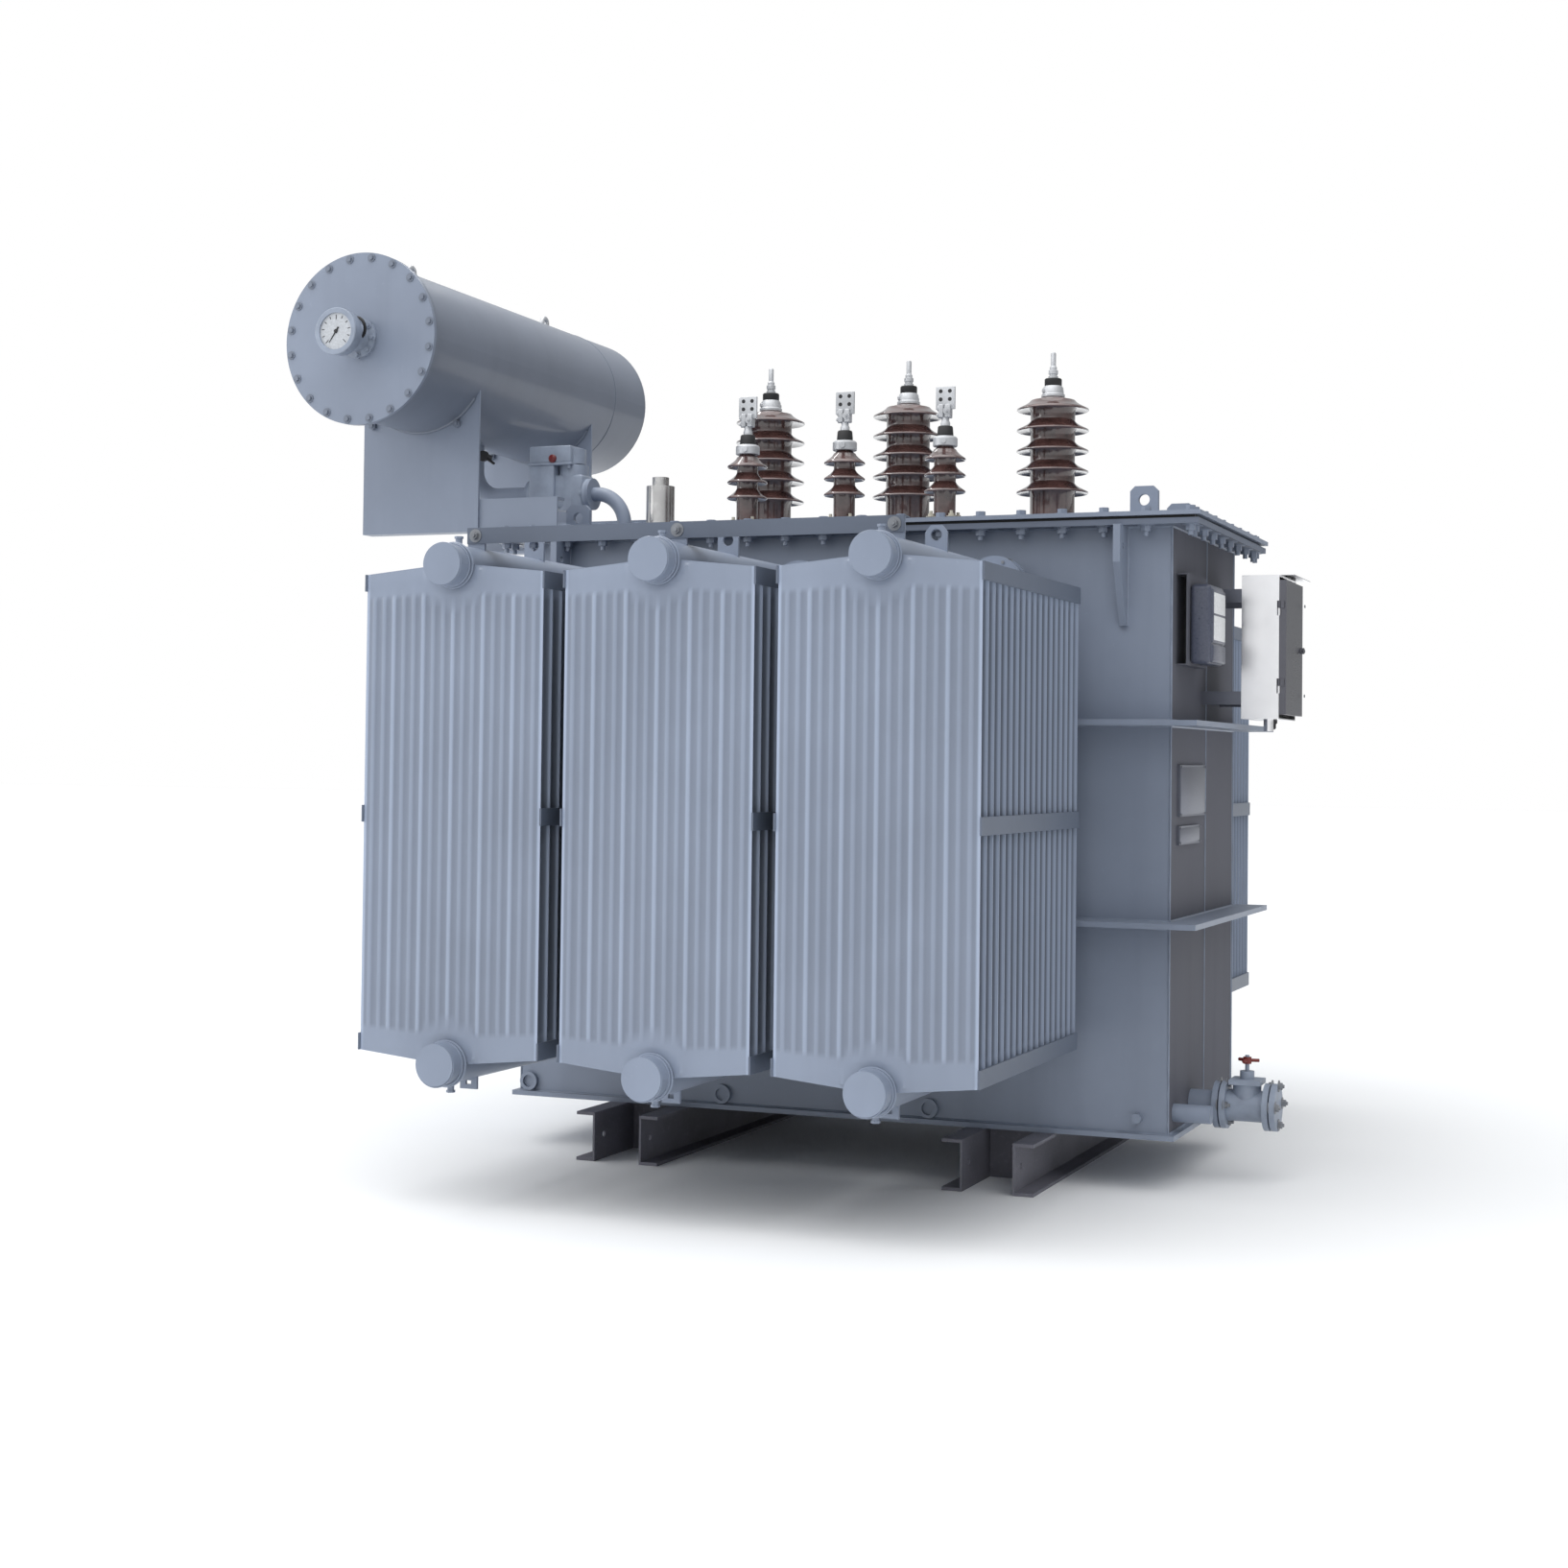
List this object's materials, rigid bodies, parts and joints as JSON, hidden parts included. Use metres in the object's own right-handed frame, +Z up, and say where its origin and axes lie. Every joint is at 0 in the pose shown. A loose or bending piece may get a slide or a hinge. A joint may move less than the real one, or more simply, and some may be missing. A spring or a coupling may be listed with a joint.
{
  "type": "power transformer",
  "caption": "Oil-filled power transformer with finned radiators, a drum conservator, tall and short porcelain bushings, a control cabinet and a drain valve.",
  "frame": {"origin": "on the ground under the middle of the tank, half way between the two pairs of channels", "axes": "+X along the tank away from the conservator, +Y from the front to the back, +Z up"},
  "size_m": [2.8679, 3.036, 2.6689],
  "materials": {
    "tank_paint": "satin",
    "radiator_paint": "satin",
    "base_paint": "satin",
    "seal_rubber": "matte",
    "porcelain": "gloss",
    "terminal_metal": "satin",
    "stainless": "brushed",
    "instrument_black": "matte",
    "plate_metal": "satin",
    "wheel_paint": "gloss",
    "relay_paint": "satin"
  },
  "bodies": {
    "transformer": {"base_channels": "base_paint", "channel_spacers": "base_paint", "base_plate": "base_paint", "tank_wall_front": "tank_paint", "tank_wall_back": "tank_paint", "tank_wall_left": "tank_paint", "tank_wall_right": "tank_paint", "lower_ribs": "tank_paint", "upper_ribs": "tank_paint", "rim_flange": "tank_paint", "cover_gasket": "seal_rubber", "tank_cover": "tank_paint", "tank_gussets": "tank_paint", "tank_bosses": "tank_paint", "cover_lugs": "tank_paint", "radiator_front_1_fins": "radiator_paint", "radiator_front_2_fins": "radiator_paint", "radiator_front_3_fins": "radiator_paint", "radiator_headers_front": "radiator_paint", "radiator_back_1_fins": "radiator_paint", "radiator_back_2_fins": "radiator_paint", "radiator_back_3_fins": "radiator_paint", "radiator_headers_back": "radiator_paint", "radiator_bands": "radiator_paint", "radiator_valves": "radiator_paint", "tank_stubs": "tank_paint", "tie_bars": "tank_paint", "conservator_shell": "tank_paint", "conservator_cover": "tank_paint", "drum_eyes": "tank_paint", "conservator_supports": "tank_paint", "conservator_beams": "tank_paint", "level_gauge": "tank_paint", "gas_relay": "relay_paint", "relay_pipes": "tank_paint", "pressure_relief": "stainless", "hv_porcelains": "porcelain", "hv_terminals": "terminal_metal", "lv_porcelains": "porcelain", "lv_terminals": "terminal_metal", "cabinet_body": "stainless", "cabinet_arms": "tank_paint", "thermometer_bracket": "tank_paint", "thermometer_housing": "instrument_black", "rating_plates": "plate_metal", "drain_pipes": "tank_paint", "drain_valve": "relay_paint"},
    "door": {"cabinet_door": "stainless"},
    "handwheel": {"drain_handwheel": "wheel_paint"}
  },
  "joints": [
    {"name": "cabinet_door_hinge", "type": "hinge", "parent": "transformer", "child": "door", "pos_m": [1.21925, -0.0445, 1.499], "axis": [0, 0, -1], "range_deg": [0, 110]},
    {"name": "drain_wheel_turn", "type": "hinge", "parent": "transformer", "child": "handwheel", "pos_m": [1.155, -0.133, 0.335], "axis": [0, 0, 1], "range_deg": [0, 2160]}
  ]
}
